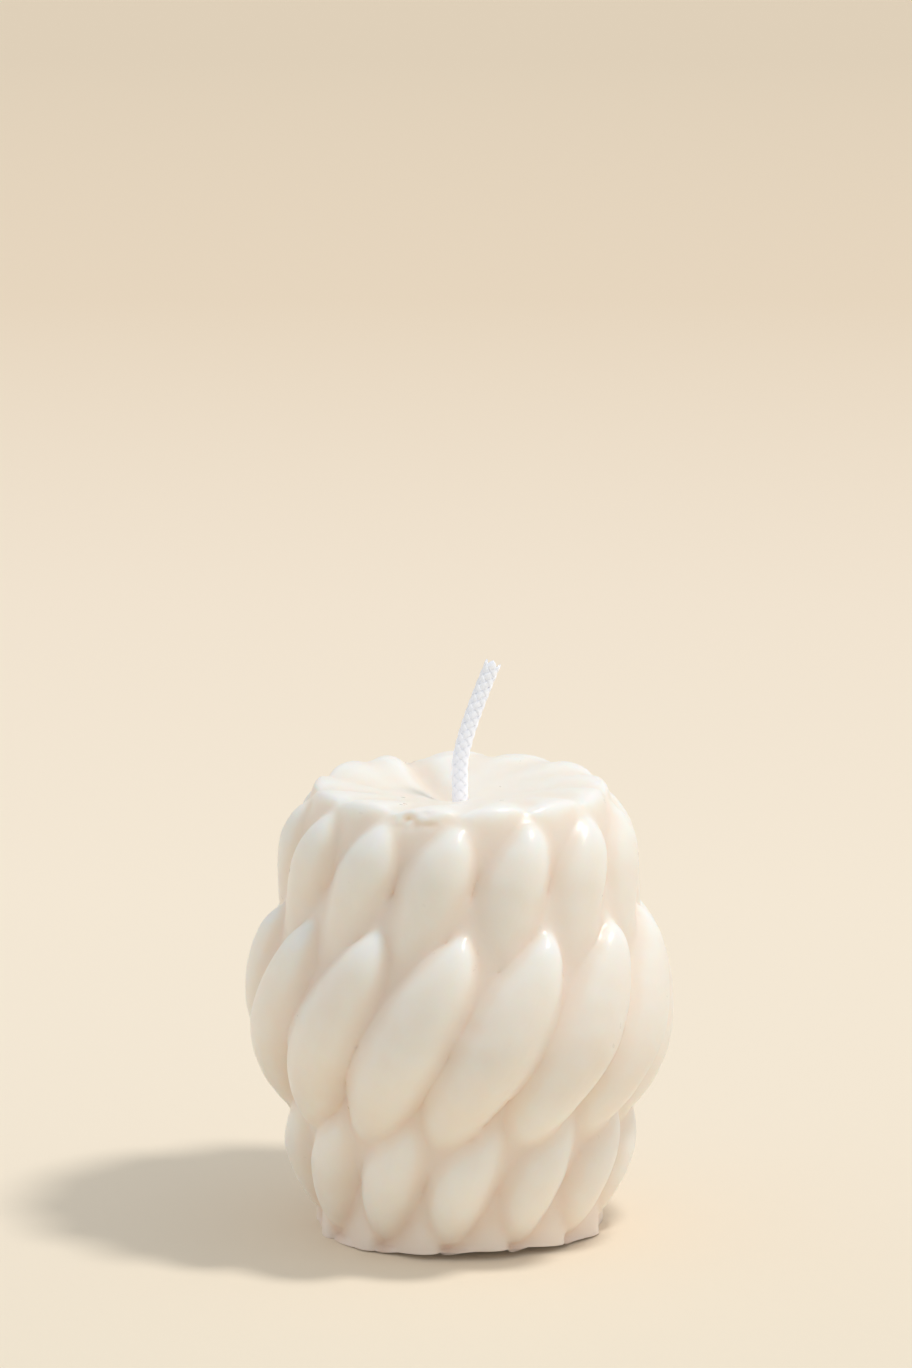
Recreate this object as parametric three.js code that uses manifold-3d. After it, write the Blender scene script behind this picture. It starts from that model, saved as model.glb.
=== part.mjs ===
// Twisted candle: a cast wax body whose surface is a basket of leaf-shaped strands, a cotton wick, and
// the metal sustainer that holds the wick's lower end in the base.
// Millimetres, +Z up. The origin is the centre of the base, and the photographed side faces -Y.
// Angles are in degrees round the axis, zero at -Y and growing towards +X.

import * as THREE from "three";
import { mergeVertices } from "three/addons/utils/BufferGeometryUtils.js";
import Module from "manifold-3d";

// Strands in every tier of the body
const strandCount = 13;

// How far a strand's inner half is rooted in the body, as a share of its depth. No taper draws the
// root out, so that no tip stands clear of the groove behind it.
const strandRoot = 1.5;

// A tier is a ring of leaves. A leaf runs from its foot up to its tip, and its outermost line swells
// from the foot radius to the crown radius and back to the tip radius, in two quarters of a squared
// ellipse. A tier's feet are tucked under the tips of the tier below it, and the tilt lifts every
// leaf's leading edge over the next leaf, as shingles lie. A larger taper draws an end out to a finer
// point.
const footTier = {
  leafLength: 24,
  crownRise: 11,
  footRadius: 20,
  crownRadius: 24.8,
  tipRadius: 20,
  squarenessBelow: 3,
  squarenessAbove: 3,
  halfWidth: 5.4,
  depth: 4.8,
  footTaper: 0.6,
  tipTaper: 0.9,
  tilt: 16,
  footAngle: -2.5,
  middleAngle: 5.5,
  tipAngle: 13.5,
  sides: 8,
  rows: 6,
};

const lowerTier = {
  tuck: 12,
  leafLength: 26,
  crownRise: 15.5,
  footRadius: 21.5,
  crownRadius: 30.7,
  tipRadius: 24,
  squarenessBelow: 1.6,
  squarenessAbove: 2.3,
  halfWidth: 5.3,
  depth: 5,
  footTaper: 0.7,
  tipTaper: 0.9,
  tilt: 26,
  footAngle: -5.5,
  middleAngle: 2,
  tipAngle: 12.5,
  sides: 10,
  rows: 8,
};

const middleTier = {
  tuck: 9.2,
  leafLength: 40.5,
  crownRise: 21.5,
  footRadius: 22,
  crownRadius: 37.5,
  tipRadius: 29.5,
  squarenessBelow: 1.8,
  squarenessAbove: 2,
  halfWidth: 7.7,
  depth: 6.2,
  footTaper: 0.95,
  tipTaper: 0.85,
  tilt: 24,
  footAngle: -35.5,
  middleAngle: -17.3,
  tipAngle: 1,
  sides: 12,
  rows: 12,
};

const upperTier = {
  tuck: 14.3,
  leafLength: 32.4,
  crownRise: 19,
  footRadius: 28,
  crownRadius: 31.6,
  tipRadius: 21,
  squarenessBelow: 2.5,
  squarenessAbove: 2.4,
  halfWidth: 6.2,
  depth: 5.5,
  footTaper: 1.1,
  tipTaper: 0.8,
  tilt: 22,
  footAngle: -22.5,
  middleAngle: -12.5,
  tipAngle: -1,
  sides: 12,
  rows: 10,
};

// Top strands rise between the upper leaves, turn over the crest and wind into the hollow. The groove
// is how deep the grooves between them are, as a share of a strand's depth.
const topStrands = {
  crestRise: 1.8,
  crestRadius: 23.8,
  shoulderRadius: 27.2,
  shoulderDrop: 22,
  shoulderSquareness: 2.8,
  hollowRadius: 1.2,
  hollowDepth: 3,
  spread: 1.1,
  relief: 0.5,
  groove: 0.36,
  footTaper: 0.8,
  tipTaper: 0.6,
  tilt: 0,
  sectionTurn: 0,
  outerAngle: -20,
  crestAngle: -13,
  innerAngle: 17,
  sides: 10,
  rows: 13,
};

// Wick, an oval cotton braid that leans to +X above the wax. Its rises are above the hollow's floor.
const wickWidth = 2.9;
const wickThickness = 2.4;
const wickClearance = 0.3;
const wickStraightRise = 5.5;
const wickKneeRise = 10;
const wickTipRise = 23.8;
const wickTipReach = 5.75;
const wickSections = 40;
const wickSides = 12;

// Sustainer, a pressed tab with a neck round the wick, seated in a recess of the base
const tabRadius = 9.5;
const tabThickness = 0.4;
const neckHeight = 6;
const neckWall = 0.4;
const neckFlare = 1;
const seatClearance = 0.3;

// Core, the plain middle of the casting, which shows only at the bottom of the pits between leaves and
// of the grooves in the top
const pitDepth = 5;
const coreSegments = 28;
const coreTopSteps = 6;

// Facets round the wick's seat
const seatSegments = 24;

const wasm = await Module();
wasm.setup();

function toSolid(geometry) {
  const bare = geometry.clone();
  bare.deleteAttribute("normal");
  bare.deleteAttribute("uv");
  const merged = mergeVertices(bare, 1e-4);
  const vertProperties = new Float32Array(merged.attributes.position.array);
  const triVerts = new Uint32Array(merged.index.array);
  return new wasm.Manifold(new wasm.Mesh({ numProp: 3, vertProperties, triVerts }));
}

function toGeometry(solid) {
  const mesh = solid.getMesh();
  const geometry = new THREE.BufferGeometry();
  geometry.setAttribute("position", new THREE.BufferAttribute(mesh.vertProperties, 3));
  geometry.setIndex(new THREE.BufferAttribute(mesh.triVerts, 1));
  geometry.computeVertexNormals();
  return geometry;
}

// A solid of revolution about Z, from pairs of radius and height that rise from the axis to the axis
function revolve(profile, segments) {
  const points = profile.map(([radius, height]) => new THREE.Vector2(radius, height));
  return new THREE.LatheGeometry(points, segments).rotateX(Math.PI / 2);
}

function roundTheAxis({ radius, angle, height }) {
  const turn = THREE.MathUtils.degToRad(angle);
  return new THREE.Vector3(radius * Math.sin(turn), -radius * Math.cos(turn), height);
}

// The quadratic through a start value, a middle value and an end value, at share from 0 to 1
function sweep(start, middle, end, share) {
  const bend = 2 * middle - (start + end) / 2;
  const { lerp } = THREE.MathUtils;
  return lerp(lerp(start, bend, share), lerp(bend, end, share), share);
}

// A quarter of a squared ellipse, from its side at turn 0 to its top at turn 1
function squaredQuarter(turn, squareness) {
  const angle = (Math.PI / 2) * turn;
  return { reach: Math.cos(angle) ** (2 / squareness), lift: Math.sin(angle) ** (2 / squareness) };
}

// A pointed strand: a unit sphere whose axis is drawn out along the strand's outermost line.
// line(share) is a place on that line, and section(share) is the strand's half width and depth. At a
// sectionTurn of 1 the sections are square to a leaning line, and at 0 they stay level.
function strand(line, section, { footTaper, tipTaper, tilt, sectionTurn = 1, sides, rows }) {
  const geometry = new THREE.SphereGeometry(1, sides, rows).rotateY(Math.PI / 2);
  const position = geometry.attributes.position;
  const lean = THREE.MathUtils.degToRad(tilt);
  const nudge = 1e-3;
  for (let i = 0; i < position.count; i += 1) {
    const share = 1 - Math.acos(THREE.MathUtils.clamp(position.getY(i), -1, 1)) / Math.PI;
    const swell = Math.sin(Math.PI * share);
    const taper = THREE.MathUtils.lerp(footTaper, tipTaper, share);
    const fullness = Math.max(swell, nudge) ** (taper - 1);
    const place = roundTheAxis(line(share));
    const before = roundTheAxis(line(Math.max(share - nudge, 0)));
    const after = roundTheAxis(line(Math.min(share + nudge, 1)));
    const along = after.sub(before).normalize();
    const across = roundTheAxis({ radius: 1, angle: line(share).angle + 90, height: 0 });
    across.addScaledVector(along, -across.dot(along) * sectionTurn).normalize();
    const outward = new THREE.Vector3().crossVectors(across, along).normalize();
    const { halfWidth, depth } = section(share);
    const beside = halfWidth * fullness * position.getX(i);
    const above = depth * position.getZ(i) * (position.getZ(i) < 0 ? strandRoot : fullness);
    const reach = Math.hypot(halfWidth * Math.sin(lean), depth * Math.cos(lean)) * fullness * swell;
    place.addScaledVector(across, beside * Math.cos(lean) - above * Math.sin(lean));
    place.addScaledVector(outward, beside * Math.sin(lean) + above * Math.cos(lean) - reach);
    position.setXYZ(i, place.x, place.y, place.z);
  }
  return geometry;
}

// Joins one copy of the strand to the body at every place of its tier
function addRing(body, strandGeometry) {
  let ring = body;
  for (let i = 0; i < strandCount; i += 1) {
    const copy = strandGeometry.clone().rotateZ((2 * Math.PI * i) / strandCount);
    ring = ring.add(toSolid(copy));
  }
  return ring;
}

function leafLine(tier, footHeight) {
  const { crownRise, crownRadius, leafLength, footAngle, middleAngle, tipAngle } = tier;
  const crownShare = crownRise / leafLength;
  return (share) => {
    const above = share > crownShare;
    const turn = above ? (share - crownShare) / (1 - crownShare) : 1 - share / crownShare;
    const quarter = squaredQuarter(turn, above ? tier.squarenessAbove : tier.squarenessBelow);
    const endRadius = above ? tier.tipRadius : tier.footRadius;
    const radius = THREE.MathUtils.lerp(endRadius, crownRadius, quarter.reach);
    const endRise = above ? leafLength : 0;
    const rise = THREE.MathUtils.lerp(crownRise, endRise, quarter.lift);
    const angle = sweep(footAngle, middleAngle, tipAngle, rise / leafLength);
    return { radius, angle, height: footHeight + rise };
  };
}

function leaf(tier, footHeight) {
  const section = () => ({ halfWidth: tier.halfWidth, depth: tier.depth });
  return strand(leafLine(tier, footHeight), section, tier);
}

// Heights that follow from the tiers
const footTierBase = -footTier.crownRise;
const lowerTierBase = footTierBase + footTier.leafLength - lowerTier.tuck;
const middleTierBase = lowerTierBase + lowerTier.leafLength - middleTier.tuck;
const upperTierBase = middleTierBase + middleTier.leafLength - upperTier.tuck;
const crestHeight = upperTierBase + upperTier.leafLength + topStrands.crestRise;
const hollowHeight = crestHeight - topStrands.hollowDepth;

// A top strand's outermost line: a squared quarter up to the crest, then a soft fall inwards
function topLine(share) {
  const top = topStrands;
  const angle = sweep(top.outerAngle, top.crestAngle, top.innerAngle, share);
  if (share < 0.5) {
    const quarter = squaredQuarter(2 * share, top.shoulderSquareness);
    const radius = THREE.MathUtils.lerp(top.crestRadius, top.shoulderRadius, quarter.reach);
    return { radius, angle, height: crestHeight - top.shoulderDrop * (1 - quarter.lift) };
  }
  const inward = 2 * share - 1;
  const radius = THREE.MathUtils.lerp(top.crestRadius, top.hollowRadius, inward);
  const fall = (1 - Math.cos(Math.PI * inward)) / 2;
  return { radius, angle, height: crestHeight - top.hollowDepth * fall };
}

function topSection(share) {
  const halfPitch = (Math.PI * topLine(share).radius) / strandCount;
  const halfWidth = halfPitch * topStrands.spread;
  return { halfWidth, depth: halfWidth * topStrands.relief };
}

// The bottom of the grooves between top strands, as a radius and a height
function topGroove(share) {
  const nudge = 1e-3;
  const { radius, height } = topLine(share);
  const before = topLine(Math.max(share - nudge, 0));
  const after = topLine(Math.min(share + nudge, 1));
  const along = new THREE.Vector2(after.radius - before.radius, after.height - before.height);
  along.setLength(topSection(share).depth * topStrands.groove);
  return [radius - along.y, height + along.x];
}

// The core backs the pits on the side and fills the top up to the grooves
function coreGeometry() {
  const profile = [
    [0, footTierBase],
    [footTier.crownRadius - footTier.depth, footTierBase],
    [lowerTier.crownRadius - pitDepth, lowerTierBase + lowerTier.crownRise],
    [middleTier.crownRadius - pitDepth, middleTierBase + middleTier.crownRise],
    [upperTier.crownRadius - pitDepth, upperTierBase + upperTier.crownRise],
  ];
  for (let i = 1; i < coreTopSteps; i += 1) {
    profile.push(topGroove(i / coreTopSteps));
  }
  profile.push([0, hollowHeight]);
  return revolve(profile, coreSegments);
}

// Sizes of the wick's seat, shared by the wax, the wick and the sustainer
const boreRadius = wickWidth / 2 + wickClearance;
const neckRadius = boreRadius + neckWall;
const tabBase = seatClearance;
const tabTop = tabBase + tabThickness;
const neckTop = tabTop + neckHeight;

function baseCut() {
  const side = 4 * middleTier.crownRadius;
  const below = 2 * footTier.leafLength;
  return new THREE.BoxGeometry(side, side, below).translate(0, 0, -below / 2);
}

// The recess for the tab, the seat of its neck and the wick's bore, cut in one
function channelCut() {
  const recessRadius = tabRadius + seatClearance;
  const recessTop = tabTop + seatClearance;
  const seatRadius = neckRadius + seatClearance;
  const profile = [
    [0, -footTier.leafLength],
    [recessRadius, -footTier.leafLength],
    [recessRadius, recessTop],
    [seatRadius + neckFlare, recessTop],
    [seatRadius, recessTop + neckFlare],
    [seatRadius, neckTop + seatClearance],
    [boreRadius, neckTop + seatClearance],
    [boreRadius, crestHeight],
    [0, crestHeight],
  ];
  return revolve(profile, seatSegments);
}

function waxBody() {
  let body = toSolid(coreGeometry());
  body = addRing(body, leaf(footTier, footTierBase));
  body = addRing(body, leaf(lowerTier, lowerTierBase));
  body = addRing(body, leaf(middleTier, middleTierBase));
  body = addRing(body, leaf(upperTier, upperTierBase));
  body = addRing(body, strand(topLine, topSection, topStrands));
  body = body.subtract(toSolid(baseCut()));
  body = body.subtract(toSolid(channelCut()));
  const wax = new THREE.MeshStandardMaterial({ color: "#efe5d3", roughness: 0.5, metalness: 0 });
  const mesh = new THREE.Mesh(toGeometry(body), wax);
  mesh.name = "wax_body";
  return mesh;
}

function wick() {
  const foot = new THREE.Vector3(0, 0, tabBase);
  const bend = new THREE.Vector3(0, 0, hollowHeight + wickStraightRise);
  const knee = new THREE.Vector3(0, 0, hollowHeight + wickKneeRise);
  const tip = new THREE.Vector3(wickTipReach, 0, hollowHeight + wickTipRise);
  const path = new THREE.CurvePath();
  path.add(new THREE.LineCurve3(foot, bend));
  path.add(new THREE.QuadraticBezierCurve3(bend, knee, tip));
  const outline = new THREE.EllipseCurve(0, 0, wickThickness / 2, wickWidth / 2);
  const section = new THREE.Shape(outline.getPoints(wickSides).slice(0, wickSides));
  const geometry = new THREE.ExtrudeGeometry(section, { steps: wickSections, extrudePath: path });
  const cotton = new THREE.MeshStandardMaterial({ color: "#dcdce6", roughness: 0.9, metalness: 0 });
  const mesh = new THREE.Mesh(geometry, cotton);
  mesh.name = "wick";
  return mesh;
}

function wickSustainer() {
  const profile = [
    [boreRadius, tabBase],
    [tabRadius, tabBase],
    [tabRadius, tabTop],
    [neckRadius + neckFlare, tabTop],
    [neckRadius, tabTop + neckFlare],
    [neckRadius, neckTop],
    [boreRadius, neckTop],
    [boreRadius, tabBase],
  ];
  const tin = new THREE.MeshStandardMaterial({ color: "#b9bbbd", roughness: 0.35, metalness: 1 });
  const mesh = new THREE.Mesh(revolve(profile, seatSegments), tin);
  mesh.name = "wick_sustainer";
  return mesh;
}

const candle = new THREE.Group();
candle.add(waxBody(), wick(), wickSustainer());

export default candle;
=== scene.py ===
import math
from typing import NamedTuple

import bpy
import numpy as np
from mathutils import Matrix, Vector
from mathutils.kdtree import KDTree


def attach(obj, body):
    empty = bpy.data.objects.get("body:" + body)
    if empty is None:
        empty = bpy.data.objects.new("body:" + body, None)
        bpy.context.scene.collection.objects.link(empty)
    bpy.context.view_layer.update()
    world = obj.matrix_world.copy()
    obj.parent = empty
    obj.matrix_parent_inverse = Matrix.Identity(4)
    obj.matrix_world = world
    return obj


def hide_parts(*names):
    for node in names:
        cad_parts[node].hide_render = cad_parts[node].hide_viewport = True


# Looks of a twisted candle: a wax casting of leaf-shaped strands, its braided cotton wick and the pressed
# tin sustainer in its base. Lengths are millimetres until a piece is finished, and angles are degrees
# round the axis, zero at the photographed front (-Y) and growing towards +X.

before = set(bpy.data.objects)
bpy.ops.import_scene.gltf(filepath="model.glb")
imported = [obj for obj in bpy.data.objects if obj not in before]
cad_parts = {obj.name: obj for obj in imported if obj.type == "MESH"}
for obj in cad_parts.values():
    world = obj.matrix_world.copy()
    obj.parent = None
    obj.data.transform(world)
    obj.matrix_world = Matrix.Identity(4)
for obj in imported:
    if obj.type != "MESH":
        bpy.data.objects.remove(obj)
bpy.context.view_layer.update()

MM = 0.001
SEED = 14

# Strands in every tier, and how far a strand's inner half is rooted in the body
STRANDS = 13
STRAND_ROOT = 1.5


class Tier(NamedTuple):
    """A ring of leaves, whose outermost line swells from foot to crown and falls back to the tip."""

    base: float
    length: float
    crown_rise: float
    foot_radius: float
    crown_radius: float
    tip_radius: float
    squareness_below: float
    squareness_above: float
    half_width: float
    depth: float
    tapers: tuple
    tilt: float
    angles: tuple


FOOT_TIER = Tier(
    base=-13.0,
    length=30.0,
    crown_rise=13.0,
    foot_radius=22.0,
    crown_radius=25.0,
    tip_radius=21.5,
    squareness_below=3.0,
    squareness_above=3.0,
    half_width=6.3,
    depth=2.6,
    tapers=(0.5, 0.6),
    tilt=19.0,
    angles=(4.5, 5.5, 9.5),
)
LOWER_TIER = Tier(
    base=1.0,
    length=26.0,
    crown_rise=15.5,
    foot_radius=21.5,
    crown_radius=30.7,
    tip_radius=24.0,
    squareness_below=1.6,
    squareness_above=2.3,
    half_width=5.1,
    depth=5.2,
    tapers=(0.7, 0.95),
    tilt=26.0,
    angles=(-5.5, 2.0, 12.5),
)
MIDDLE_TIER = Tier(
    base=17.8,
    length=40.5,
    crown_rise=21.5,
    foot_radius=22.0,
    crown_radius=37.5,
    tip_radius=28.6,
    squareness_below=1.8,
    squareness_above=2.0,
    half_width=7.2,
    depth=6.2,
    tapers=(0.9, 1.15),
    tilt=24.0,
    angles=(-35.5, -17.0, 1.0),
)
UPPER_TIER = Tier(
    base=44.0,
    length=32.4,
    crown_rise=19.0,
    foot_radius=28.0,
    crown_radius=31.6,
    tip_radius=21.0,
    squareness_below=2.5,
    squareness_above=2.4,
    half_width=6.2,
    depth=5.5,
    tapers=(1.1, 0.8),
    tilt=22.0,
    angles=(-22.5, -12.5, -1.0),
)
TIERS = (FOOT_TIER, LOWER_TIER, MIDDLE_TIER, UPPER_TIER)

# Top strands: up between the upper leaves, over the crest and into the hollow
CREST_HEIGHT = 78.2
CREST_RADIUS = 23.8
SHOULDER_RADIUS = 27.2
SHOULDER_DROP = 22.0
SHOULDER_SQUARENESS = 2.8
HOLLOW_RADIUS = 1.2
HOLLOW_DEPTH = 3.0
HOLLOW_FLOOR = CREST_HEIGHT - HOLLOW_DEPTH
TOP_SPREAD = 1.1
TOP_RELIEF = 0.44
TOP_TAPERS = (0.8, 0.6)
TOP_GROOVE = 0.36
TOP_ANGLES = (-20.0, -13.0, 17.0)

# Core behind the strands, as pairs of radius and height; the top strands' grooves close it
CORE_PROFILE = (
    (21.6, -11.0),
    (21.6, 4.0),
    (22.6, 9.0),
    (27.0, 16.5),
    (28.4, 27.5),
    (33.8, 39.3),
    (30.5, 53.0),
    (28.5, 62.0),
)
CORE_SEGMENTS = 160
CORE_TOP_STEPS = 12

# Fineness of the strands before they are fused, and of the fused casting
STRAND_SIDES = 28
STRAND_ROWS = 56
VOXEL = 0.38
MOST_FACES = 190_000

# Step along a line, as a share of it, that its direction is taken from
NUDGE = 1e-3

# Weight of a smoothing round, and after how many rounds of filling the normals are taken again
SMOOTHING_WEIGHT = 0.9
NORMAL_ROUNDS = 8


def lerp(start, end, share):
    return start + (end - start) * share


def fade(distance, reach):
    """Falls from 1 to 0 as the distance passes the reach."""
    return np.exp(-((distance / reach) ** 2))


def rising(values, start, reach):
    """Climbs from 0 at the start to 1 at the start plus the reach."""
    return np.clip((values - start) / reach, 0, 1)


def falling(values, reach):
    """Falls from 1 at zero to 0 at the reach."""
    return np.clip(1 - values / reach, 0, 1)


def sweep(values, share):
    """The quadratic through a start value, a middle value and an end value."""
    start, middle, end = values
    bend = 2 * middle - (start + end) / 2
    return lerp(lerp(start, bend, share), lerp(bend, end, share), share)


def squared_quarter(turn, squareness):
    """A quarter of a squared ellipse, from its side at turn 0 to its top at turn 1."""
    angle = math.pi / 2 * np.clip(turn, 0, 1)
    return np.cos(angle) ** (2 / squareness), np.sin(angle) ** (2 / squareness)


def round_the_axis(radius, angle, height):
    turn = np.radians(angle)
    return np.stack([radius * np.sin(turn), -radius * np.cos(turn), height + 0 * turn], axis=-1)


def normalized(vectors):
    return vectors / np.maximum(np.linalg.norm(vectors, axis=-1, keepdims=True), 1e-12)


def leaf_line(tier, share):
    """Radius, angle and height of a leaf's outermost line."""
    crown_share = tier.crown_rise / tier.length
    above = share > crown_share
    turn = np.where(above, (share - crown_share) / (1 - crown_share), 1 - share / crown_share)
    high = squared_quarter(turn, tier.squareness_above)
    low = squared_quarter(turn, tier.squareness_below)
    reach, lift = np.where(above, high[0], low[0]), np.where(above, high[1], low[1])
    radius = lerp(np.where(above, tier.tip_radius, tier.foot_radius), tier.crown_radius, reach)
    rise = lerp(tier.crown_rise, np.where(above, tier.length, 0.0), lift)
    return radius, sweep(tier.angles, rise / tier.length), tier.base + rise


def top_line(share):
    """Radius, angle and height of a top strand's outermost line."""
    reach, lift = squared_quarter(2 * share, SHOULDER_SQUARENESS)
    inward = np.clip(2 * share - 1, 0, 1)
    climbing = share < 0.5
    shoulder = lerp(CREST_RADIUS, SHOULDER_RADIUS, reach)
    radius = np.where(climbing, shoulder, lerp(CREST_RADIUS, HOLLOW_RADIUS, inward))
    fall = (1 - np.cos(math.pi * inward)) / 2
    height = CREST_HEIGHT - np.where(climbing, SHOULDER_DROP * (1 - lift), HOLLOW_DEPTH * fall)
    return radius, sweep(TOP_ANGLES, share), height


def top_section(share):
    half_width = math.pi * top_line(share)[0] / STRANDS * TOP_SPREAD
    return half_width, half_width * TOP_RELIEF


def strand(line, section, tapers, tilt, section_turn):
    """Rings of points round a pointed strand, whose surface touches its outermost line.

    At a section turn of 1 the rings are square to a leaning line, and at 0 they stay level.
    """
    share = np.arange(1, STRAND_ROWS) / STRAND_ROWS
    swell = np.sin(math.pi * share)
    fullness = np.maximum(swell, NUDGE) ** (lerp(tapers[0], tapers[1], share) - 1)
    place = round_the_axis(*line(share))
    along = normalized(round_the_axis(*line(share + NUDGE / 2)) - round_the_axis(*line(share - NUDGE / 2)))
    across = round_the_axis(1.0, line(share)[1] + 90, 0.0)
    across = normalized(across - np.sum(across * along, axis=-1, keepdims=True) * along * section_turn)
    outward = normalized(np.cross(across, along))
    half_width, depth = section(share)
    around = np.linspace(0, 2 * math.pi, STRAND_SIDES, endpoint=False)
    side, level = np.sin(around)[None, :], np.cos(around)[None, :]
    level = level * np.where(level < 0, STRAND_ROOT, fullness[:, None])
    beside = (half_width * fullness * swell)[:, None] * side
    above = (depth * swell)[:, None] * level
    tilt = math.radians(tilt)
    offset_across = beside * math.cos(tilt) - above * math.sin(tilt)
    reach = np.hypot(half_width * math.sin(tilt), depth * math.cos(tilt)) * swell * fullness
    offset_out = beside * math.sin(tilt) + above * math.cos(tilt) - reach[:, None]
    rings = place[:, None] + offset_across[..., None] * across[:, None]
    rings = rings + offset_out[..., None] * outward[:, None]
    ends = [round_the_axis(*(float(value) for value in line(np.array(end)))) for end in (0.0, 1.0)]
    return rings, ends


def leaf(tier):
    def line(share):
        return leaf_line(tier, share)

    def section(share):
        return tier.half_width, tier.depth

    return strand(line, section, tier.tapers, tier.tilt, 1.0)


def closed_tube(rings, ends):
    """Points and faces of a tube of rings, closed by a fan at each end."""
    rows, sides = rings.shape[:2]
    points = np.concatenate([rings.reshape(-1, 3), np.array(ends).reshape(2, 3)])
    first, last = rows * sides, rows * sides + 1
    faces = []
    for side in range(sides):
        after = (side + 1) % sides
        faces.append((first, after, side))
        faces.append((last, (rows - 1) * sides + side, (rows - 1) * sides + after))
        for row in range(rows - 1):
            low, high = row * sides, (row + 1) * sides
            faces.append((low + side, low + after, high + after, high + side))
    return points, faces


def revolved(profile, segments):
    """A closed tube round Z from pairs of radius and height, whose ends lie on the axis."""
    profile = np.array(profile, float)
    angles = np.linspace(0, 360, segments, endpoint=False)
    inner = profile[1:-1]
    rings = round_the_axis(inner[:, 0][:, None], angles[None, :], inner[:, 1][:, None])
    ends = [(0, 0, profile[0][1]), (0, 0, profile[-1][1])]
    return closed_tube(rings, ends)


def turned(points, degrees):
    angle = math.radians(degrees)
    cosine, sine = math.cos(angle), math.sin(angle)
    matrix = np.array([[cosine, -sine, 0], [sine, cosine, 0], [0, 0, 1]])
    return points @ matrix.T


def joined(parts):
    """One list of points and one of faces from several."""
    points, faces, start = [], [], 0
    for some_points, some_faces in parts:
        points.append(some_points)
        faces += [tuple(start + i for i in face) for face in some_faces]
        start += len(some_points)
    return np.concatenate(points), faces


def new_object(name, points, faces):
    mesh = bpy.data.meshes.new(name)
    mesh.from_pydata(np.asarray(points, float).tolist(), [], faces)
    mesh.update()
    piece = bpy.data.objects.new(name, mesh)
    bpy.context.scene.collection.objects.link(piece)
    return piece


def with_modifier(piece, kind, **settings):
    """Replaces the piece's mesh by what one modifier makes of it."""
    modifier = piece.modifiers.new(kind, kind)
    for key, value in settings.items():
        setattr(modifier, key, value)
    evaluated = piece.evaluated_get(bpy.context.evaluated_depsgraph_get())
    mesh = bpy.data.meshes.new_from_object(evaluated)
    piece.modifiers.clear()
    piece.data = mesh


def get_points(mesh):
    points = np.empty(len(mesh.vertices) * 3)
    mesh.vertices.foreach_get("co", points)
    return points.reshape(-1, 3)


def set_points(mesh, points):
    mesh.vertices.foreach_set("co", points.ravel())
    mesh.update()


def get_normals(mesh):
    normals = np.empty(len(mesh.vertices) * 3)
    mesh.vertex_normals.foreach_get("vector", normals)
    return normals.reshape(-1, 3)


def neighbours_mean(mesh):
    """A function that gives, for each point, the mean of its neighbours."""
    edges = np.empty(len(mesh.edges) * 2, int)
    mesh.edges.foreach_get("vertices", edges)
    one, other = edges[0::2], edges[1::2]
    size = len(mesh.vertices)
    count = np.bincount(one, minlength=size) + np.bincount(other, minlength=size)

    def mean(points):
        totals = [
            np.bincount(one, points[other, axis], size) + np.bincount(other, points[one, axis], size)
            for axis in range(3)
        ]
        return np.stack(totals, axis=-1) / count[:, None]

    return mean


def relax(mesh, rounds, weight):
    """Moves each point towards the mean of its neighbours, by its weight, a few times."""
    mean, points = neighbours_mean(mesh), get_points(mesh)
    weight = np.broadcast_to(weight, len(points))[:, None]
    for _ in range(rounds):
        points = points + (mean(points) - points) * weight
    set_points(mesh, points)


def fill_hollows(mesh, rounds, weight):
    """Lifts the points that lie deeper than their neighbours, so that grooves fill and ridges stay."""
    mean, points = neighbours_mean(mesh), get_points(mesh)
    for step in range(rounds):
        if step % NORMAL_ROUNDS == 0:
            set_points(mesh, points)
            normals = get_normals(mesh)
        rise = np.sum((mean(points) - points) * normals, axis=-1)
        points = points + (np.maximum(rise, 0) * weight)[:, None] * normals
    set_points(mesh, points)


def smoothed_offsets(mesh, rounds):
    """How far each point lies from a much smoother casting."""
    mean, points = neighbours_mean(mesh), get_points(mesh)
    smooth = points
    for _ in range(rounds):
        smooth = smooth + (mean(smooth) - smooth) * SMOOTHING_WEIGHT
    return smooth - points


def ripple(points, size, seed, waves=28):
    """A smooth random field over space, about -1 to 1, whose bumps are about size across."""
    random = np.random.default_rng(SEED + seed)
    directions = normalized(random.normal(size=(waves, 3)))
    steps = directions * (math.pi / size * random.uniform(0.6, 1.4, waves))[:, None]
    phases = random.uniform(0, 2 * math.pi, waves)
    field = np.zeros(len(points))
    for step, phase in zip(steps, phases):
        field += np.sin(points @ step + phase)
    return field * math.sqrt(2 / waves) / 1.6


def top_groove(share):
    """The bottom of the grooves between top strands, as a radius and a height."""
    radius, _, height = (float(value) for value in top_line(np.array(share)))
    before = top_line(np.array(max(share - NUDGE, 0)))
    after = top_line(np.array(min(share + NUDGE, 1)))
    along = np.array([float(after[0] - before[0]), float(after[2] - before[2])])
    along *= float(top_section(np.array(share))[1]) * TOP_GROOVE / np.linalg.norm(along)
    return radius - along[1], height + along[0]


def core():
    profile = [(0.0, CORE_PROFILE[0][1]), *CORE_PROFILE]
    profile += [top_groove(step / CORE_TOP_STEPS) for step in range(1, CORE_TOP_STEPS)]
    profile.append((0.0, HOLLOW_FLOOR))
    return revolved(profile, CORE_SEGMENTS)


def strand_parts():
    """Every strand of the casting, as points and faces."""
    kinds = [leaf(tier) for tier in TIERS]
    kinds.append(strand(top_line, top_section, TOP_TAPERS, 0.0, 0.0))
    parts = []
    for kind in kinds:
        points, faces = closed_tube(*kind)
        parts += [(turned(points, 360 * i / STRANDS), faces) for i in range(STRANDS)]
    return parts


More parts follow.
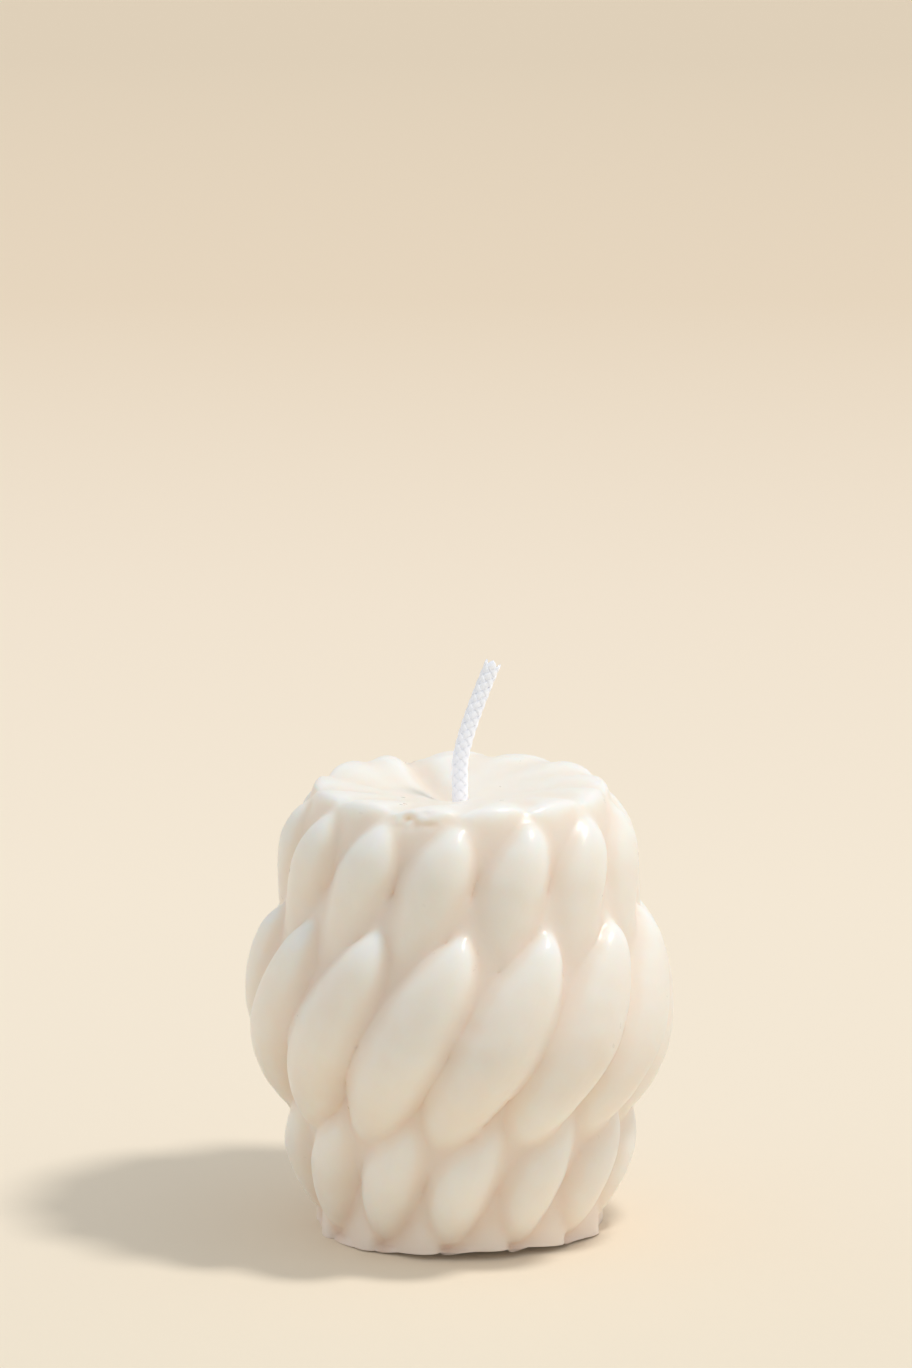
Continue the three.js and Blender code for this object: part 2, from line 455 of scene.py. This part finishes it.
# Melting the fused strands together: how many rounds of each kind, and how strong a round is
VOXEL_ROUNDS, VOXEL_WEIGHT = 4, 0.5
FILL_ROUNDS, FILL_WEIGHT = 90, 0.8
TIP_ROUNDS, TIP_WEIGHT = 36, 0.7
PLATEAU_ROUNDS, PLATEAU_WEIGHT = 60, 0.6

# The foot, whose columns keep their crisp edges
FOOT_TOP = 5.0
FOOT_BLEND = 7.0
FOOT_SHARE = 0.12

# Pits: how many rounds smooth the casting that they are measured from, and how deep they may be
PIT_ROUNDS = 150
PIT_LIMIT = 1.0

# Where a leaf's end melts into the wax, as a share of its line, and how far round it
TIP_SHARE = 0.97
TIP_REACH = 3.6

# The wax's painted shade and light: the rounds that the painted shade of the hollows is measured with, and
# how far painted light on the top and painted shade at the foot change it
PAINTED_SHADE = "painted_shade"
SHADE_ROUNDS = 60
TOP_PAINTED_LIGHT = 0.35
FOOT_PAINTED_SHADE = 0.4
FOOT_PAINTED_SHADE_TOP = 9.0

# The plateau inside the rim, the fold in it from the rim to the wick, and the chip under the rim
PLATEAU_FLOOR = 73.5
PLATEAU_BLEND = 1.5
PLATEAU_RADIUS = 22.5
PLATEAU_EDGE = 6.0
FOLD_START = np.array([-9.5, 23.0])
FOLD_END = np.array([-1.5, 1.5])
FOLD_DEPTH = 1.9
FOLD_WIDTH = 2.7
FOLD_LOSS = 0.4
FOLD_FLOOR = PLATEAU_FLOOR - 3.0
CHIP_PLACE = np.array([-7.5, -24.0, 76.3])
CHIP_REACH = np.array([3.6, 2.5, 1.5])
CHIP_DEPTH = 0.35
CHIP_ROUGHNESS = 0.45
CHIP_GRAIN = 1.3
CHIP_LEAST = -0.6

# The higher rim at the back: how much higher, and the start and reach over which that grows towards
# the back, upwards and outwards
RIM_LIFT = 1.2
RIM_LIFT_BACK = (2.0, 16.0)
RIM_LIFT_HEIGHT = (66.0, 10.0)
RIM_LIFT_RADIUS = (8.0, 12.0)

# Waves of the casting, as pairs of height and size
BROAD_WAVES = (0.12, 9.0)
SMALL_WAVES = (0.03, 2.2)

# The skirt of flashed wax round the foot, which curls up a little at the front
SKIRT_RISE = 1.0
SKIRT_RADIUS = 24.3
SKIRT_ROOT = 18.0
SKIRT_BLEND = 2.0
SKIRT_RAGGEDNESS = 0.5
SKIRT_WAVE = 3.5
SKIRT_LIFT = 1.6
SKIRT_LIFT_REACH = 6.0
SKIRT_LIFT_RISE = 3.0
SKIRT_LIFT_ANGLE = 14.0
SKIRT_LIFT_SPREAD = 42.0

# Seat of the wick and the sustainer
WICK_WIDTH = 2.9
WICK_THICKNESS = 2.4
BORE_RADIUS = WICK_WIDTH / 2 + 0.3
NECK_RADIUS = BORE_RADIUS + 0.4
TAB_RADIUS = 9.5
TAB_BASE = 0.3
TAB_TOP = TAB_BASE + 0.4
TAB_STEP_INNER = 5.4
TAB_STEP_OUTER = 6.4
NECK_TOP = TAB_TOP + 6.0
SEAT_CLEARANCE = 0.3
SEAT_CHAMFER = 1.0
SEAT_BOTTOM = -5.0
BORE_TOP = HOLLOW_FLOOR - 2.0
ROUND_SEGMENTS = 96
TAB_SEGMENTS = 120


def channel():
    """The recess for the tab, the seat of its neck and the bore that the wick fills."""
    recess, seat = TAB_RADIUS + SEAT_CLEARANCE, NECK_RADIUS + SEAT_CLEARANCE
    ceiling, neck_top = TAB_TOP + SEAT_CLEARANCE, NECK_TOP + SEAT_CLEARANCE
    profile = [
        (0.0, SEAT_BOTTOM),
        (recess, SEAT_BOTTOM),
        (recess, ceiling),
        (seat + SEAT_CHAMFER, ceiling),
        (seat, ceiling + SEAT_CHAMFER),
        (seat, neck_top),
        (BORE_RADIUS, neck_top),
        (BORE_RADIUS, BORE_TOP),
        (0.0, BORE_TOP),
    ]
    return revolved(profile, ROUND_SEGMENTS)


def cut_away(piece, cutter):
    """Takes the cutter's space out of the piece."""
    with_modifier(piece, "BOOLEAN", operation="DIFFERENCE", solver="MANIFOLD", object=cutter)
    bpy.data.objects.remove(cutter)


def base_block():
    """What lies under the floor, which the base is cut flat by."""
    side, height = 60.0, 20.0
    corners = [(x, y, z) for z in (-height, 0.0) for y in (-side, side) for x in (-side, side)]
    faces = [(0, 2, 3, 1), (4, 5, 7, 6), (0, 1, 5, 4), (2, 6, 7, 3), (0, 4, 6, 2), (1, 3, 7, 5)]
    return new_object("base_block", corners, faces)


def above_foot(mesh):
    """Is small at the foot and 1 higher up."""
    return np.clip((get_points(mesh)[:, 2] - FOOT_TOP) / FOOT_BLEND, FOOT_SHARE, 1)


def soften_pits(mesh):
    """Lets no pit between leaves lie deeper than wax would run into it."""
    offsets = smoothed_offsets(mesh, PIT_ROUNDS)
    depth = np.sum(offsets * get_normals(mesh), axis=-1)
    share = np.clip(1 - PIT_LIMIT / np.maximum(depth, 1e-6), 0, 1) * above_foot(mesh)
    set_points(mesh, get_points(mesh) + offsets * share[:, None])


def blunt_tips(mesh):
    """Melts the ends of the leaves into the wax round them."""
    points = get_points(mesh)
    near = np.zeros(len(points))
    for tier in (LOWER_TIER, MIDDLE_TIER):
        radius, angle, height = (float(value) for value in leaf_line(tier, np.array(TIP_SHARE)))
        for i in range(STRANDS):
            tip = round_the_axis(radius, angle + 360 * i / STRANDS, height)
            near = np.maximum(near, fade(np.linalg.norm(points - tip, axis=-1), TIP_REACH))
    relax(mesh, TIP_ROUNDS, TIP_WEIGHT * near)


def smooth_plateau(mesh):
    """Melts the strands of the top together inside the rim."""
    points = get_points(mesh)
    radius = np.hypot(points[:, 0], points[:, 1])
    high = rising(points[:, 2], PLATEAU_FLOOR, PLATEAU_BLEND)
    inside = rising(PLATEAU_RADIUS - radius, 0, PLATEAU_EDGE)
    relax(mesh, PLATEAU_ROUNDS, PLATEAU_WEIGHT * high * inside)


def fold_depth(points):
    """How deep the fold between the rim and the wick is at each point of the plateau."""
    plan, course = points[:, :2], FOLD_END - FOLD_START
    along = np.clip((plan - FOLD_START) @ course / np.sum(course**2), 0, 1)
    beside = np.linalg.norm(plan - (FOLD_START + along[:, None] * course), axis=-1)
    high = rising(points[:, 2], FOLD_FLOOR, PLATEAU_BLEND)
    return FOLD_DEPTH * high * fade(beside, FOLD_WIDTH) * (1 - FOLD_LOSS * along)


def chip_depth(points):
    """How deep the crumbled place under the front of the rim is at each point."""
    chipped = fade(np.linalg.norm((points - CHIP_PLACE) / CHIP_REACH, axis=-1), 1.0)
    grain = np.maximum(ripple(points, CHIP_GRAIN, seed=3), CHIP_LEAST)
    return chipped * (CHIP_DEPTH + CHIP_ROUGHNESS * grain)


def weather(mesh):
    """The hand-poured casting's waves, fold and chip, and the rim's rise at the back."""
    points, normals = get_points(mesh), get_normals(mesh)
    rise = BROAD_WAVES[0] * ripple(points, BROAD_WAVES[1], seed=1)
    rise += SMALL_WAVES[0] * ripple(points, SMALL_WAVES[1], seed=2)
    rise -= fold_depth(points)
    rise -= chip_depth(points)
    radius, back = np.hypot(points[:, 0], points[:, 1]), points[:, 1]
    points = points + normals * rise[:, None]
    behind = rising(back, *RIM_LIFT_BACK) * rising(points[:, 2], *RIM_LIFT_HEIGHT)
    points[:, 2] += RIM_LIFT * behind * rising(radius, *RIM_LIFT_RADIUS)
    set_points(mesh, points)


def flare_base(mesh):
    """Draws the foot out into the thin ragged skirt that the mould's mouth leaves."""
    points = get_points(mesh)
    radius = np.hypot(points[:, 0], points[:, 1])
    outward = points[:, :2] / np.maximum(radius, 1e-6)[:, None]
    on_skirt = np.concatenate([outward * SKIRT_RADIUS, np.zeros((len(points), 1))], axis=-1)
    ragged = SKIRT_RAGGEDNESS * ripple(on_skirt, SKIRT_WAVE, seed=4)
    angle = np.degrees(np.arctan2(points[:, 0], -points[:, 1]))
    low = falling(points[:, 2], SKIRT_RISE) * rising(radius, SKIRT_ROOT, SKIRT_BLEND)
    reach = np.maximum(radius, SKIRT_RADIUS + ragged)
    points[:, :2] = outward * lerp(radius, reach, low)[:, None]
    curl = rising(radius, SKIRT_ROOT, SKIRT_LIFT_REACH) ** 2 * falling(points[:, 2], SKIRT_LIFT_RISE)
    points[:, 2] += SKIRT_LIFT * curl * fade(angle - SKIRT_LIFT_ANGLE, SKIRT_LIFT_SPREAD)
    set_points(mesh, points)


def painted_shade_of(mesh):
    """How much painted shade the wax has at each point: peach painted shade in the hollows between leaves,
    pale painted light on the ridges and upward faces, and painted shade towards the foot.
    """
    points, normals = get_points(mesh), get_normals(mesh)
    # painted shade: the deeper a hollow between leaves, the more peach shade it gets
    painted_shades = np.sum(smoothed_offsets(mesh, SHADE_ROUNDS) * normals, axis=-1)
    # painted light: faces that look upwards are made paler, as if lit from above
    painted_shades -= TOP_PAINTED_LIGHT * np.clip(normals[:, 2], 0, 1) ** 2
    # painted shade: darker, more peach wax towards the foot, under the overhanging leaves
    return painted_shades + FOOT_PAINTED_SHADE * falling(points[:, 2], FOOT_PAINTED_SHADE_TOP)


def store_painted_shades(mesh, places, painted_shades):
    """Gives every point of the mesh the painted shade and light of the nearest of some places."""
    tree = KDTree(len(places))
    for index, place in enumerate(places):
        tree.insert(place, index)
    tree.balance()
    nearest = [tree.find(vertex.co)[1] for vertex in mesh.vertices]
    attribute = mesh.attributes.new(PAINTED_SHADE, "FLOAT", "POINT")
    attribute.data.foreach_set("value", painted_shades[nearest])


def wax_body():
    points, faces = joined([core(), *strand_parts()])
    body = new_object("wax_casting", points, faces)
    with_modifier(body, "REMESH", mode="VOXEL", voxel_size=VOXEL, adaptivity=0)
    mesh = body.data
    relax(mesh, VOXEL_ROUNDS, VOXEL_WEIGHT)
    soften_pits(mesh)
    fill_hollows(mesh, FILL_ROUNDS, FILL_WEIGHT * above_foot(mesh))
    blunt_tips(mesh)
    smooth_plateau(mesh)
    weather(mesh)
    # the painted shade and light are measured before the base is cut
    places, painted_shades = get_points(mesh), painted_shade_of(mesh)
    cut_away(body, base_block())
    cut_away(body, new_object("channel", *channel()))
    flare_base(body.data)
    count = sum(len(face.vertices) - 2 for face in body.data.polygons)
    with_modifier(body, "DECIMATE", ratio=min(1, MOST_FACES / count))
    store_painted_shades(body.data, places, painted_shades)
    return body


# Wick: a round braid of flat yarns over a soft core, on the line that the cast-in wick follows
WICK_BEND = HOLLOW_FLOOR + 5.5
WICK_KNEE = HOLLOW_FLOOR + 10.0
WICK_TIP = (5.75, HOLLOW_FLOOR + 23.8)
ROUTE_STEPS = 200
YARNS_EACH_WAY = 4
YARN_TURN = 7.2
YARN_HALF_WIDTH = 0.6
YARN_HALF_DEPTH = 0.17
YARN_SEAT = 1.6 * YARN_HALF_DEPTH
YARN_STEP = 0.2
YARN_SIDES = 10
FILLING_HALF_WIDTH = 0.95
FILLING_HALF_DEPTH = 0.7
FILLING_FOOT_GAP = 0.6
FILLING_TIP_GAP = 0.4
FILLING_STEP = 0.5
FILLING_SIDES = 16
ACROSS_WICK = np.array([0.0, 1.0, 0.0])


def wick_line(lengths):
    """Places and directions along the wick at these lengths from its foot, and its whole length."""
    straight = np.stack([np.zeros(ROUTE_STEPS), np.linspace(TAB_BASE, WICK_BEND, ROUTE_STEPS)], axis=-1)
    share = np.linspace(0, 1, ROUTE_STEPS)[1:, None]
    bend, knee, tip = np.array([0, WICK_BEND]), np.array([0, WICK_KNEE]), np.array(WICK_TIP)
    leaning = lerp(lerp(bend, knee, share), lerp(knee, tip, share), share)
    route = np.concatenate([straight, leaning])
    travelled = np.concatenate([[0], np.cumsum(np.linalg.norm(np.diff(route, axis=0), axis=1))])
    x, z = np.interp(lengths, travelled, route[:, 0]), np.interp(lengths, travelled, route[:, 1])
    nudge = 0.4
    ahead, behind = np.minimum(lengths + nudge, travelled[-1]), np.maximum(lengths - nudge, 0)
    dx = np.interp(ahead, travelled, route[:, 0]) - np.interp(behind, travelled, route[:, 0])
    dz = np.interp(ahead, travelled, route[:, 1]) - np.interp(behind, travelled, route[:, 1])
    zero = np.zeros_like(x)
    return np.stack([x, zero, z], -1), normalized(np.stack([dx, zero, dz], -1)), travelled[-1]


def yarn(length, way, phase):
    """One flat yarn of the braid: way is 1 or -1, the sense in which it winds."""
    lengths = np.arange(YARN_HALF_WIDTH, length - YARN_HALF_WIDTH * 0.3, YARN_STEP)
    middle, along, _ = wick_line(lengths)
    turn = 2 * math.pi * lengths / YARN_TURN
    angle = way * turn + phase
    right = normalized(np.cross(ACROSS_WICK, along))
    over = way * 0.5 * YARN_HALF_DEPTH * np.cos(YARNS_EACH_WAY * turn)
    across = (WICK_WIDTH / 2 - YARN_SEAT + over) * np.cos(angle)
    deep = (WICK_THICKNESS / 2 - YARN_SEAT + over) * np.sin(angle)
    place = middle + across[:, None] * right + deep[:, None] * ACROSS_WICK
    out = np.cos(angle)[:, None] * right + np.sin(angle)[:, None] * ACROSS_WICK
    heading = normalized(np.gradient(place, axis=0))
    side = normalized(np.cross(heading, out))
    around = np.linspace(0, 2 * math.pi, YARN_SIDES, endpoint=False)
    rings = (
        place[:, None]
        + YARN_HALF_WIDTH * np.cos(around)[None, :, None] * side[:, None]
        + YARN_HALF_DEPTH * np.sin(around)[None, :, None] * np.cross(side, heading)[:, None]
    )
    ends = [place[0] - heading[0] * 0.1, place[-1] + heading[-1] * 0.1]
    return closed_tube(rings, ends)


def filling(length):
    """The soft core that the yarns are braided over."""
    middle, along, _ = wick_line(np.arange(FILLING_FOOT_GAP, length - FILLING_TIP_GAP, FILLING_STEP))
    around = np.linspace(0, 2 * math.pi, FILLING_SIDES, endpoint=False)
    right = normalized(np.cross(ACROSS_WICK, along))
    across = FILLING_HALF_WIDTH * np.cos(around)[None, :, None] * right[:, None]
    deep = FILLING_HALF_DEPTH * np.sin(around)[None, :, None] * ACROSS_WICK
    return closed_tube(middle[:, None] + across + deep, [middle[0], middle[-1]])


def wick():
    length = wick_line(np.zeros(1))[2]
    parts = []
    for way in (1, -1):
        for i in range(YARNS_EACH_WAY):
            parts.append(yarn(length, way, 2 * math.pi * i / YARNS_EACH_WAY))
    parts.append(filling(length))
    return new_object("braided_wick", *joined(parts))


def sustainer():
    """The pressed tab with a rolled rim, a stamped step and a crimped neck."""
    profile = np.array([
        (TAB_RADIUS - 0.2, TAB_BASE),
        (TAB_RADIUS - 0.06, TAB_BASE + 0.06),
        (TAB_RADIUS, TAB_BASE + 0.2),
        (TAB_RADIUS - 0.06, TAB_TOP - 0.06),
        (TAB_RADIUS - 0.2, TAB_TOP),
        (NECK_RADIUS + 1.0, TAB_TOP),
        (NECK_RADIUS + 0.35, TAB_TOP + 0.25),
        (NECK_RADIUS, TAB_TOP + 1.0),
        (NECK_RADIUS, NECK_TOP - 0.1),
        (NECK_RADIUS - 0.1, NECK_TOP),
        (BORE_RADIUS + 0.1, NECK_TOP),
        (BORE_RADIUS, NECK_TOP - 0.1),
        (BORE_RADIUS, TAB_BASE + 0.8),
        (BORE_RADIUS + 0.25, TAB_BASE + 0.25),
        (BORE_RADIUS + 0.8, TAB_BASE),
        (TAB_STEP_INNER, TAB_BASE),
        (TAB_STEP_INNER + 0.1, TAB_BASE + 0.08),
        (TAB_STEP_OUTER - 0.1, TAB_BASE + 0.08),
        (TAB_STEP_OUTER, TAB_BASE),
    ])
    angles = np.linspace(0, 360, TAB_SEGMENTS, endpoint=False)
    rings = round_the_axis(profile[:, 0][:, None], angles[None, :], profile[:, 1][:, None])
    count = len(profile)
    faces = []
    for row in range(count):
        below, above = row * TAB_SEGMENTS, (row + 1) % count * TAB_SEGMENTS
        for side in range(TAB_SEGMENTS):
            after = (side + 1) % TAB_SEGMENTS
            faces.append((below + side, below + after, above + after, above + side))
    return new_object("tin_sustainer", rings.reshape(-1, 3), faces)


def nodes_of(material):
    material.use_nodes = True
    tree = material.node_tree
    return tree, tree.nodes["Principled BSDF"]


def noise(tree, scale, detail, source, roughness=0.5):
    node = tree.nodes.new("ShaderNodeTexNoise")
    node.inputs["Scale"].default_value = scale
    node.inputs["Detail"].default_value = detail
    node.inputs["Roughness"].default_value = roughness
    tree.links.new(source, node.inputs["Vector"])
    return node.outputs["Fac"]


def ramp(tree, source, *stops):
    """A colour ramp from pairs of position and colour."""
    node = tree.nodes.new("ShaderNodeValToRGB")
    for place, (position, colour) in enumerate(stops):
        element = node.color_ramp.elements[place] if place < 2 else node.color_ramp.elements.new(position)
        element.position = position
        element.color = (*colour, 1)
    tree.links.new(source, node.inputs["Fac"])
    return node.outputs["Color"]


def span(tree, source, low=0.0, high=1.0, start=0.0, end=1.0):
    """Maps a value between start and end to one between low and high."""
    node = tree.nodes.new("ShaderNodeMapRange")
    node.inputs["From Min"].default_value = start
    node.inputs["From Max"].default_value = end
    node.inputs["To Min"].default_value = low
    node.inputs["To Max"].default_value = high
    tree.links.new(source, node.inputs["Value"])
    return node.outputs["Result"]


def calculated(tree, operation, *values):
    """What a math node makes of numbers and of other nodes' outputs."""
    node = tree.nodes.new("ShaderNodeMath")
    node.operation = operation
    for socket, value in zip(node.inputs, values):
        if isinstance(value, float):
            socket.default_value = value
        else:
            tree.links.new(value, socket)
    return node.outputs[0]


def part_of(tree, source, axis):
    """One coordinate of a place or direction."""
    split = tree.nodes.new("ShaderNodeSeparateXYZ")
    tree.links.new(source, split.inputs["Vector"])
    return split.outputs[axis]


def bump(tree, height, distance, strength, before=None):
    node = tree.nodes.new("ShaderNodeBump")
    node.inputs["Distance"].default_value = distance
    node.inputs["Strength"].default_value = strength
    tree.links.new(height, node.inputs["Height"])
    if before is not None:
        tree.links.new(before, node.inputs["Normal"])
    return node.outputs["Normal"]


def object_place(tree):
    return tree.nodes.new("ShaderNodeTexCoord").outputs["Object"]


# Wax: painted light makes it pale on ridges and on top, painted shade makes it peach in hollows, and it is
# less translucent at its thin lower edge
# colours from painted light on the ridges, through the flanks, to painted shade in the hollows
WAX_SHADE_STOPS = ((0.12, (0.97, 0.94, 0.89)), (0.42, (0.955, 0.845, 0.755)), (1.0, (0.925, 0.76, 0.64)))
PAINTED_SHADE_LOW, PAINTED_SHADE_HIGH = -0.6, 0.9
CLOUDINESS = 0.25
EDGE_HEIGHT = 6.0
TRANSLUCENCE_LOW, TRANSLUCENCE_HIGH = 0.15, 0.8


def wax_material():
    material = bpy.data.materials.new("cast_wax")
    tree, shader = nodes_of(material)
    place = object_place(tree)
    # this attribute carries the casting's painted shade and painted light
    painted_shade = tree.nodes.new("ShaderNodeAttribute")
    painted_shade.attribute_name = PAINTED_SHADE
    hollow_shade = span(tree, painted_shade.outputs["Fac"], start=PAINTED_SHADE_LOW, end=PAINTED_SHADE_HIGH)
    shade_and_cloudiness = calculated(tree, "MULTIPLY_ADD", noise(tree, 60, 3, place), CLOUDINESS, hollow_shade)
    tree.links.new(ramp(tree, shade_and_cloudiness, *WAX_SHADE_STOPS), shader.inputs["Base Color"])
    tree.links.new(span(tree, noise(tree, 240, 4, place), 0.24, 0.36), shader.inputs["Roughness"])
    height = part_of(tree, place, "Z")
    translucence = span(tree, height, TRANSLUCENCE_LOW, TRANSLUCENCE_HIGH, end=EDGE_HEIGHT * MM)
    tree.links.new(translucence, shader.inputs["Subsurface Weight"])
    shader.inputs["Subsurface Radius"].default_value = (1.0, 0.8, 0.66)
    shader.inputs["Subsurface Scale"].default_value = 0.0038
    shader.inputs["IOR"].default_value = 1.44
    soft = bump(tree, noise(tree, 420, 4, place), 0.00012, 0.35)
    fine = bump(tree, noise(tree, 2600, 3, place), 0.00002, 0.3, soft)
    tree.links.new(fine, shader.inputs["Normal"])
    return material


def cotton_material():
    """Bleached cotton, with a faint bluish glow of painted light that brightens the wick."""
    material = bpy.data.materials.new("wick_cotton")
    tree, shader = nodes_of(material)
    place = object_place(tree)
    stops = ((0.3, (0.93, 0.94, 0.985)), (0.75, (0.965, 0.97, 1.0)))
    tree.links.new(ramp(tree, noise(tree, 900, 4, place), *stops), shader.inputs["Base Color"])
    shader.inputs["Roughness"].default_value = 0.8
    shader.inputs["Sheen Weight"].default_value = 1.0
    shader.inputs["Sheen Roughness"].default_value = 0.5
    shader.inputs["Subsurface Weight"].default_value = 0.5
    shader.inputs["Subsurface Radius"].default_value = (1.0, 1.0, 1.0)
    shader.inputs["Subsurface Scale"].default_value = 0.0004
    # painted light: a faint bluish glow that brightens the wick
    shader.inputs["Emission Color"].default_value = (0.82, 0.89, 1.0, 1)
    shader.inputs["Emission Strength"].default_value = 0.135
    fibres = bump(tree, noise(tree, 5200, 3, place, 0.7), 0.00003, 0.4)
    tree.links.new(fibres, shader.inputs["Normal"])
    return material


def tin_material():
    material = bpy.data.materials.new("sustainer_tin")
    tree, shader = nodes_of(material)
    place = object_place(tree)
    stops = ((0.3, (0.66, 0.67, 0.68)), (0.7, (0.76, 0.77, 0.78)))
    tree.links.new(ramp(tree, noise(tree, 700, 4, place), *stops), shader.inputs["Base Color"])
    shader.inputs["Metallic"].default_value = 1
    tree.links.new(span(tree, noise(tree, 1500, 4, place), 0.26, 0.42), shader.inputs["Roughness"])
    return material


def finish_piece(piece, material, node, sharp=None):
    """Takes a piece from millimetres to metres, dresses it and hangs it on the frame."""
    piece.data.transform(Matrix.Scale(MM, 4))
    piece.data.materials.clear()
    piece.data.materials.append(material)
    piece.data.shade_smooth()
    if sharp is not None:
        piece.data.set_sharp_from_angle(angle=math.radians(sharp))
    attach(piece, "root")
    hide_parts(node)


# Light: a small key above, to the right and a little in front, that loses nothing with distance, and a
# plain world all round, stronger at both sides. The key's share is its part of the floor's light.
KEY_PLACE = Vector((100.0, -34.0, 265.0))
KEY_RADIUS = 17.0
KEY_POWER = 17.5
KEY_SHARE = 0.39
KEY_COLOUR = (1.04, 1.0, 0.96)
WORLD_STRENGTH = 0.49
WORLD_SIDES = 0.48
WORLD_COLOUR = (0.97, 1.0, 1.03)
BACKDROP = (0.80, 0.70, 0.56)

# Floor: its colour at places from the front to the back, in metres, and its half width in metres
FLOOR_START, FLOOR_END = -0.5, 5.5
FLOOR_STOPS = (
    (0.05, (0.80, 0.718, 0.57)),
    (0.085, (0.855, 0.765, 0.625)),
    (0.13, (0.882, 0.781, 0.635)),
    (0.205, (0.87, 0.755, 0.607)),
    (0.377, (0.79, 0.657, 0.496)),
    (0.82, (0.733, 0.615, 0.463)),
)
FLOOR_REACH = 20.0


def seen_rays(tree):
    """Is 1 for the rays that show the background: the camera's own, reflected and refracted ones."""
    rays = tree.nodes.new("ShaderNodeLightPath").outputs
    either = calculated(tree, "MAXIMUM", rays["Is Camera Ray"], rays["Is Glossy Ray"])
    return calculated(tree, "MAXIMUM", either, rays["Is Transmission Ray"])


def even_out(tree, shader, colour, place):
    """Gives the floor's background back what the near key loses towards the distance."""
    away = tree.nodes.new("ShaderNodeVectorMath")
    away.operation = "DISTANCE"
    away.inputs[1].default_value = KEY_PLACE * MM
    tree.links.new(place, away.inputs[0])
    steepness = calculated(tree, "DIVIDE", KEY_PLACE.z * MM, away.outputs["Value"])
    loss = calculated(tree, "MULTIPLY_ADD", steepness, -KEY_SHARE, KEY_SHARE)
    seen = calculated(tree, "MULTIPLY", loss, seen_rays(tree))
    tree.links.new(colour, shader.inputs["Emission Color"])
    tree.links.new(seen, shader.inputs["Emission Strength"])


def make_floor():
    side = FLOOR_REACH
    corners = [(-side, -side, 0), (side, -side, 0), (side, side, 0), (-side, side, 0)]
    floor = new_object("floor", corners, [(0, 1, 2, 3)])
    material = bpy.data.materials.new("floor_paper")
    tree, shader = nodes_of(material)
    place = object_place(tree)
    depth = span(tree, part_of(tree, place, "Y"), start=FLOOR_START, end=FLOOR_END)
    colour = ramp(tree, depth, *FLOOR_STOPS)
    tree.links.new(colour, shader.inputs["Base Color"])
    shader.inputs["Roughness"].default_value = 0.9
    shader.inputs["Specular IOR Level"].default_value = 0.2
    tree.links.new(bump(tree, noise(tree, 900, 5, place), 0.0002, 0.15), shader.inputs["Normal"])
    even_out(tree, shader, colour, place)
    floor.data.materials.append(material)


def make_key():
    key = bpy.data.lights.new("key", "POINT")
    key.energy = KEY_POWER
    key.color = KEY_COLOUR
    key.shadow_soft_size = KEY_RADIUS * MM
    key.use_nodes = True
    tree = key.node_tree
    even = tree.nodes.new("ShaderNodeLightFalloff")
    even.inputs["Strength"].default_value = 1.0
    tree.links.new(even.outputs["Constant"], tree.nodes["Emission"].inputs["Strength"])
    lamp = bpy.data.objects.new("key", key)
    lamp.location = KEY_PLACE * MM
    bpy.context.scene.collection.objects.link(lamp)


def make_world():
    world = bpy.data.worlds.new("studio")
    world.use_nodes = True
    tree = world.node_tree
    tree.nodes.clear()
    output = tree.nodes.new("ShaderNodeOutputWorld")
    light, seen = tree.nodes.new("ShaderNodeBackground"), tree.nodes.new("ShaderNodeBackground")
    direction = tree.nodes.new("ShaderNodeTexCoord").outputs["Generated"]
    side = part_of(tree, direction, "X")
    squared = calculated(tree, "MULTIPLY", side, side)
    strength = calculated(tree, "MULTIPLY_ADD", squared, WORLD_SIDES, WORLD_STRENGTH)
    tree.links.new(strength, light.inputs["Strength"])
    light.inputs["Color"].default_value = (*WORLD_COLOUR, 1)
    seen.inputs["Color"].default_value = (*BACKDROP, 1)
    mix = tree.nodes.new("ShaderNodeMixShader")
    tree.links.new(seen_rays(tree), mix.inputs["Fac"])
    tree.links.new(light.outputs[0], mix.inputs[1])
    tree.links.new(seen.outputs[0], mix.inputs[2])
    tree.links.new(mix.outputs[0], output.inputs["Surface"])
    bpy.context.scene.world = world


# Camera: the photograph's frame, in its own pixels, and where the candle's middle lies in it
PHOTO_WIDTH, PHOTO_HEIGHT = 912, 1368
SENSOR = 36.0
FOCAL_PIXELS = 5184.0
CAMERA_DISTANCE = 900.0
CAMERA_ELEVATION = 13.0
TARGET_HEIGHT = 39.0
TARGET_PIXEL = (460.0, 1004.0)


def make_camera():
    elevation = math.radians(CAMERA_ELEVATION)
    pitch = elevation - math.atan((TARGET_PIXEL[1] - PHOTO_HEIGHT / 2) / FOCAL_PIXELS)
    yaw = math.atan((TARGET_PIXEL[0] - PHOTO_WIDTH / 2) / FOCAL_PIXELS)
    look = Vector((-math.sin(yaw) * math.cos(pitch), math.cos(yaw) * math.cos(pitch), -math.sin(pitch)))
    data = bpy.data.cameras.new("camera")
    data.sensor_width = SENSOR
    data.lens = SENSOR * FOCAL_PIXELS / PHOTO_HEIGHT
    camera = bpy.data.objects.new("camera", data)
    back, up = CAMERA_DISTANCE * math.cos(elevation), CAMERA_DISTANCE * math.sin(elevation)
    camera.location = Vector((0, -back, TARGET_HEIGHT + up)) * MM
    camera.rotation_euler = look.to_track_quat("-Z", "Y").to_euler()
    bpy.context.scene.collection.objects.link(camera)
    bpy.context.scene.camera = camera


make_camera()
make_key()
make_world()
make_floor()
finish_piece(wax_body(), wax_material(), "wax_body", sharp=50)
finish_piece(wick(), cotton_material(), "wick")
finish_piece(sustainer(), tin_material(), "wick_sustainer", sharp=50)
bpy.context.scene.view_settings.view_transform = "Standard"
